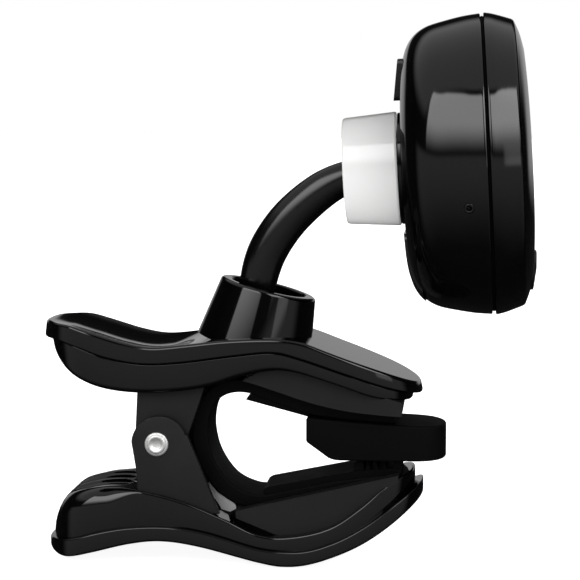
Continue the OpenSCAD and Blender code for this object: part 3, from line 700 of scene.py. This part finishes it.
def swept_stem(name, sides=64):
    verts, faces, last = [], [], len(stem_path) - 1
    first, final = 5, last - 5
    for j in range(first, final + 1):
        (x0, z0), (x1, z1) = stem_path[j - 1], stem_path[j + 1]
        a = math.atan2(z1 - z0, x1 - x0)
        share = (j - first) / (final - first)
        r = (STEM_END_D + (STEM_MID_D - STEM_END_D) * math.sin(math.pi * share) ** 0.8) / 2
        x, z = stem_path[j]
        for k in range(sides):
            u = 2 * math.pi * k / sides
            verts.append((x + r * math.cos(u) * math.sin(a), r * math.sin(u),
                          z - r * math.cos(u) * math.cos(a)))
    rings = final - first + 1
    for j in range(rings - 1):
        for k in range(sides):
            m = (k + 1) % sides
            faces.append([j * sides + k, j * sides + m, (j + 1) * sides + m, (j + 1) * sides + k])
    faces.append(list(range(sides)))
    faces.append([(rings - 1) * sides + k for k in range(sides)][::-1])
    return mesh_object(name, verts, faces, sharp=60)


piece(swept_stem("stem_arm_curve"), "stem", "stem_arm")


# ---- Head -------------------------------------------------------------------------------

collar_profile = rounded(
    [(5.6, -22.5), (8.25, -22.5), (8.4, -22.1), (9.0, -14.25), (8.88, -14.0), (6.4, -14.0),
     (6.4, -21.3), (5.6, -21.3)], [0.25, 0.35, 0.2, 0.2, 0, 0, 0, 0], 5)
collar = piece(lathe("socket_collar_white", collar_profile + [collar_profile[0]], HEAD),
               "socket_collar", "tuner_head")
collar.visible_glossy = False

rear_outer = [(0, -13.9), (8.6, -13.9), (8.8, -13.8), (8.8, -13.4), (8.95, -13.3)] + smooth(
    [(9.1, -13.29), (14.8, -13.02), (17.8, -12.4), (19.7, -11.55), (21.1, -10.3), (22.1, -8.5),
     (22.8, -5.8), (23.35, -3), (23.62, -0.6)], 14) + [
    (23.62, -0.42), (23.55, -0.28), (23.3, -0.25)]
rear_inner = [(22.1, -0.25)] + smooth([(22.1, -0.6), (21.5, -4.4), (20.6, -8), (19.7, -9.5),
                                       (18.4, -10.4), (16.9, -10.9), (14, -11.5)], 6) + [
    (9.1, -12.1), (0, -12.3)]
front_outer = [(0, 7.05), (4, 7.03), (9, 6.9)] + smooth(
    [(12, 6.77), (14.3, 6.65), (17, 6.42), (20, 5.8), (22.1, 5)], 14) + smooth(
    [(22.2, 4.95), (22.36, 4.82), (22.5, 4.6)], 4) + smooth(
    [(22.55, 4.5), (23.1, 2.9), (23.5, 1.6), (23.7, 0.6)], 12) + [
    (23.72, 0.42), (23.65, 0.28), (23.4, 0.25)]
front_inner = [(22.2, 0.25), (21.6, 2), (20.6, 3.2), (19, 4.2), (16.6, 4.9), (14, 5.2), (0, 5.5)]

DOOR_W, DOOR_TOP, DOOR_BOTTOM, BACK_SLOPE = 17.0, 9.9, 21.4, 7.2
DOOR_T, DOOR_CUT_T, DOOR_GAP, DOOR_CUT_OUT = 1.4, 1.48, 0.08, 14
KEY_W, KEY_X, KEY_GAP = 7.2, (10.7, 17.2), 0.12
LENS_X, LENS_R, LENS_GAP = 3.2, 15.0, 0.05
BUTTON_X, BUTTON_HALF, BUTTON_GAP = -17.0, (3.0, 4.6), 0.12
SOUND_HOLE_R = 0.8


def prism(name, outline, z0, z1, matrix):
    """A closed prism from an outline in a frame's x-y plane."""
    outline = anticlockwise(outline)
    count = len(outline)
    verts = [(x, y, z0) for x, y in outline] + [(x, y, z1) for x, y in outline]
    faces = [[i, (i + 1) % count, count + (i + 1) % count, count + i] for i in range(count)]
    faces += [list(range(count))[::-1], list(range(count, 2 * count))]
    return mesh_object(name, verts, faces, matrix)


def slot_outline(cx, half_x, half_y, grow=0.0):
    """An oval with straight top and bottom, wider across than up."""
    slide, r = half_y - half_x, half_x + grow
    return arc(cx, slide, r, 0, 180, 24) + arc(cx, -slide, r, 180, 360, 24)


DOOR = HEAD @ Matrix.Translation((-DOOR_TOP, 0, -13.5)) @ Matrix.Rotation(
    math.radians(BACK_SLOPE), 4, "Y")
DOOR_LEN = DOOR_BOTTOM - DOOR_TOP


def door_outline(grow, outward):
    return rounded([(grow, -DOOR_W / 2 - grow), (grow, DOOR_W / 2 + grow),
                    (-DOOR_LEN - outward, DOOR_W / 2 + grow),
                    (-DOOR_LEN - outward, -DOOR_W / 2 - grow)], [1.2, 1.2, 0, 0], 6)


def key_outline(grow):
    return rounded([(KEY_X[0] - grow, -KEY_W / 2 - grow), (KEY_X[1] + grow, -KEY_W / 2 - grow),
                    (KEY_X[1] + grow, KEY_W / 2 + grow), (KEY_X[0] - grow, KEY_W / 2 + grow)],
                   0.9, 6)


rear = lathe("rear_shell_cover", rear_outer + rear_inner, HEAD, 224)
boolean_cut(rear, [prism("door_cut", door_outline(DOOR_GAP, DOOR_CUT_OUT), -2, DOOR_CUT_T, DOOR),
                   prism("key_cut", key_outline(KEY_GAP), -20, -5, HEAD)])
MIC_TURN, MIC_R, MIC_Z = 103.8, 22.8, -3.2
MIC = (HEAD @ Matrix.Rotation(math.radians(MIC_TURN), 4, "Z")
       @ Matrix.Translation((MIC_R, 0, MIC_Z))
       @ Matrix.Rotation(math.radians(90), 4, "Y"))
boolean_cut(rear, [prism("sound_cut", arc(0, 0, SOUND_HOLE_R, 0, 350, 35), -4, 4, MIC)])
piece(rear, "rear_shell", "tuner_head")
front = lathe("front_shell_cover", front_outer + front_inner, HEAD, 224)
boolean_cut(front, [
    prism("lens_cut", arc(LENS_X, 0, LENS_R + LENS_GAP, 0, 358, 179), 1, 12, HEAD),
    prism("button_cut", slot_outline(BUTTON_X, *BUTTON_HALF, BUTTON_GAP), 1, 12, HEAD)])
piece(front, "front_shell", "tuner_head")


def carved(blank, block, width):
    """What a turned blank and a prism have in common, with its edges eased."""
    meet = blank.modifiers.new("meet", "BOOLEAN")
    meet.operation, meet.solver, meet.object = "INTERSECT", "EXACT", block
    apply_modifiers(blank)
    bpy.data.objects.remove(block)
    soft = blank.modifiers.new("soft", "BEVEL")
    soft.width, soft.segments, soft.limit_method = width * MM, 4, "ANGLE"
    soft.angle_limit = math.radians(40)
    apply_modifiers(blank)
    blank.data.shade_smooth()
    blank.data.set_sharp_from_angle(angle=math.radians(50))
    return blank


door_skin = [(r + 0.12, z - 0.3) for r, z in rear_outer if r > 9 and z < -5]
door = carved(lathe("battery_door_lid", [(0, door_skin[0][1])] + door_skin + [(0, -5)], HEAD, 224),
              prism("door_block", door_outline(0, 1.5), -2, DOOR_T, DOOR), 0.18)
GROOVES, GROOVE_PITCH, GROOVE_HALF = 4, 1.3, 4.5


def groove_outline(k):
    low, high = -3.2 - GROOVE_PITCH * k, -2.6 - GROOVE_PITCH * k
    return rounded([(low, -GROOVE_HALF), (high, -GROOVE_HALF), (high, GROOVE_HALF),
                    (low, GROOVE_HALF)], 0.25, 3)


boolean_cut(door, [prism(f"grip_cut_{k}", groove_outline(k), -2, 0.1, DOOR)
                   for k in range(GROOVES)])
piece(door, "battery_door", "battery_lid")
key = carved(lathe("function_key_cap", [(0, -14.6), (9.4, -14.5), (17.2, -13.4), (17.7, -13.0),
                                        (18.2, -12.5), (18.2, -10.9), (0, -10.9)], HEAD, 224),
             prism("key_block", key_outline(0), -18, -5, HEAD), 0.4)
piece(key, "function_key", "function_push")
button = carved(lathe("power_button_cap", [(0, 4.95), (21, 4.95), (21, 6.0), (20, 6.25), (17, 6.85),
                                           (14, 7.05), (0, 7.4)], HEAD, 224),
                prism("button_block", slot_outline(BUTTON_X, *BUTTON_HALF), 1, 12, HEAD), 0.35)
piece(button, "power_button", "power_push")

LENS = HEAD @ Matrix.Translation((LENS_X, 0, 0))
lens_profile = [(0, 5.6), (14.85, 5.6), (14.98, 5.75)] + arc(14.68, 6.0, 0.3, 0, 70, 4) + [
    (12, 6.45), (6, 6.68), (0, 6.75)]
piece(lathe("display_window", lens_profile, LENS), "display_lens", "tuner_head")
gasket_profile = [(22.1, -0.25), (23.1, -0.25), (23.25, 0), (23.1, 0.25), (22.1, 0.25),
                  (22.1, -0.25)]
piece(lathe("parting_gasket_ring", gasket_profile, HEAD), "parting_gasket", "tuner_head")
ring_profile = rounded([(0.42, -0.9), (0.73, -0.9), (0.73, 0.62), (0.42, 0.62)],
                       [0, 0, 0.12, 0.12], 4)
piece(lathe("sound_hole_ring", ring_profile + [ring_profile[0]], MIC, 48), "mic_port_ring",
      "tuner_head")


# ---- Floor, light and camera -------------------------------------------------------------

PHOTO_SCALE = 0.16
VIEW_AZIMUTH, VIEW_ELEVATION, VIEW_DISTANCE = 5.0, 5.6, 320.0
VIEW_AIM = Vector((-16.0, 0.0, 26.4))
PHOTO_SIZE = 580
VIEW_SPAN = PHOTO_SIZE * PHOTO_SCALE
SENSOR = 36


def look_direction(azimuth, elevation):
    a, e = math.radians(azimuth), math.radians(elevation)
    return Vector((math.sin(a) * math.cos(e), -math.cos(a) * math.cos(e), math.sin(e)))


camera_data = bpy.data.cameras.new("camera")
camera = bpy.data.objects.new("camera", camera_data)
bpy.context.scene.collection.objects.link(camera)
back = look_direction(VIEW_AZIMUTH, VIEW_ELEVATION)
camera.location = (VIEW_AIM + back * VIEW_DISTANCE) * MM
camera.rotation_euler = (-back).to_track_quat("-Z", "Y").to_euler()
camera_data.sensor_width = SENSOR
camera_data.lens = SENSOR * VIEW_DISTANCE / VIEW_SPAN
camera_data.clip_start = 0.01
bpy.context.scene.camera = camera

floor_mesh = bpy.data.meshes.new("floor")
FLOOR_DROP = 0.3
floor_z = CAD_BOX[0].z - FLOOR_DROP * MM
FLOOR_HALF = 3.0
FLOOR_GLOW = 0.93
floor_mesh.from_pydata([(-FLOOR_HALF, -FLOOR_HALF, floor_z), (FLOOR_HALF, -FLOOR_HALF, floor_z),
                        (FLOOR_HALF, FLOOR_HALF, floor_z), (-FLOOR_HALF, FLOOR_HALF, floor_z)],
                       [], [(0, 1, 2, 3)])
floor = bpy.data.objects.new("floor", floor_mesh)
bpy.context.scene.collection.objects.link(floor)
floor_material = bpy.data.materials.new("floor_white")
floor_material.use_nodes = True
floor_shader = floor_material.node_tree.nodes["Principled BSDF"]
floor_shader.inputs["Base Color"].default_value = (0.9, 0.9, 0.9, 1)
floor_shader.inputs["Roughness"].default_value = 0.9
floor_shader.inputs["Emission Color"].default_value = (1, 1, 1, 1)
floor_shader.inputs["Emission Strength"].default_value = FLOOR_GLOW
floor_mesh.materials.append(floor_material)
floor.visible_glossy = False


world = bpy.data.worlds.new("studio")
bpy.context.scene.world = world
world.use_nodes = True
wn, wl = world.node_tree.nodes, world.node_tree.links


def sky_math(operation, a, b=None):
    """One arithmetic step of the surroundings' shader, on sockets or numbers."""
    node = wn.new("ShaderNodeMath")
    node.operation = operation
    for socket, value in zip(node.inputs, (a, b)):
        if isinstance(value, (int, float)):
            socket.default_value = value
        elif value is not None:
            wl.new(value, socket)
    return node.outputs["Value"]


def sky_ramp(value, start, end, low=0.0, high=1.0):
    """Smooth passage from low to high while a value goes from start to end."""
    node = wn.new("ShaderNodeMapRange")
    node.interpolation_type = "SMOOTHSTEP"
    wl.new(value, node.inputs["Value"])
    for key_name, number in (("From Min", start), ("From Max", end), ("To Min", low),
                             ("To Max", high)):
        node.inputs[key_name].default_value = number
    return node.outputs["Result"]


sky_coords = wn.new("ShaderNodeTexCoord")
sky_split = wn.new("ShaderNodeSeparateXYZ")
wl.new(sky_coords.outputs["Generated"], sky_split.inputs["Vector"])
sky_x, sky_y, sky_z = (sky_split.outputs[k] for k in "XYZ")
DEGREES = 180 / math.pi
azimuth = sky_math("MULTIPLY", sky_math("ARCTAN2", sky_x, sky_math("MULTIPLY", sky_y, -1.0)),
                   DEGREES)
elevation = sky_math("MULTIPLY", sky_math("ARCSINE", sky_z), DEGREES)


def window(az0, az1, foot, head, level, edge=1.5):
    """Light of a window-like softbox between two azimuths; foot and head are elevation spans
    over which it fades in and out."""
    across = sky_math("MULTIPLY", sky_ramp(azimuth, az0 - edge, az0 + edge),
                      sky_ramp(azimuth, az1 - edge, az1 + edge, 1.0, 0.0))
    up = sky_math("MULTIPLY", sky_ramp(elevation, *foot), sky_ramp(elevation, *head, 1.0, 0.0))
    return sky_math("MULTIPLY", sky_math("MULTIPLY", across, up), level)


# Front: a table that fades downwards. Back: a low bright strip. Top: a weak overhead panel.
front_share = sky_ramp(sky_y, -0.3, 0.1, 1.0, 0.0)
table = sky_math("MULTIPLY", sky_ramp(elevation, -65, 5, 0.01, 0.32),
                 sky_ramp(elevation, 5, 11, 1.0, 0.03))
strip = sky_math("MULTIPLY", sky_ramp(sky_y, 0.75, 0.93),
                 sky_math("MULTIPLY", sky_ramp(elevation, -4, 0, 0.0, 0.45),
                          sky_ramp(elevation, 8.6, 12, 1.0, 0.0)))
panel_front = sky_math("MULTIPLY", sky_ramp(elevation, 56, 60, 0.02, 0.47),
                       sky_ramp(sky_y, -0.55, -0.3, 1.0, 0.0))
panel_back = sky_math("MULTIPLY", sky_ramp(elevation, 26, 40, 0.01, 0.47),
                      sky_ramp(sky_y, -0.55, -0.3))
overhead = sky_math("ADD", panel_front, panel_back)
sky = sky_math("ADD", sky_math("MULTIPLY", table, front_share), sky_math("ADD", strip, overhead))
LEFT_BOX = window(-55, -5, (8, 34), (52, 55), 3.6)
RIGHT_BOX = window(20, 67, (8, 34), (52, 55), 4.2)
LOW_BOX = window(36, 60, (0, 4), (10, 20), 0.9)
for softbox in (LEFT_BOX, RIGHT_BOX, LOW_BOX):
    sky = sky_math("ADD", sky, softbox)

seen = wn.new("ShaderNodeMix")
seen.data_type = "FLOAT"
wl.new(wn.new("ShaderNodeLightPath").outputs["Is Camera Ray"], seen.inputs["Factor"])
wl.new(sky, seen.inputs["A"])
seen.inputs["B"].default_value = 1.0
wl.new(seen.outputs["Result"], wn["Background"].inputs["Strength"])
wn["Background"].inputs["Color"].default_value = (1, 1, 1, 1)
bpy.context.scene.view_settings.view_transform = "Standard"
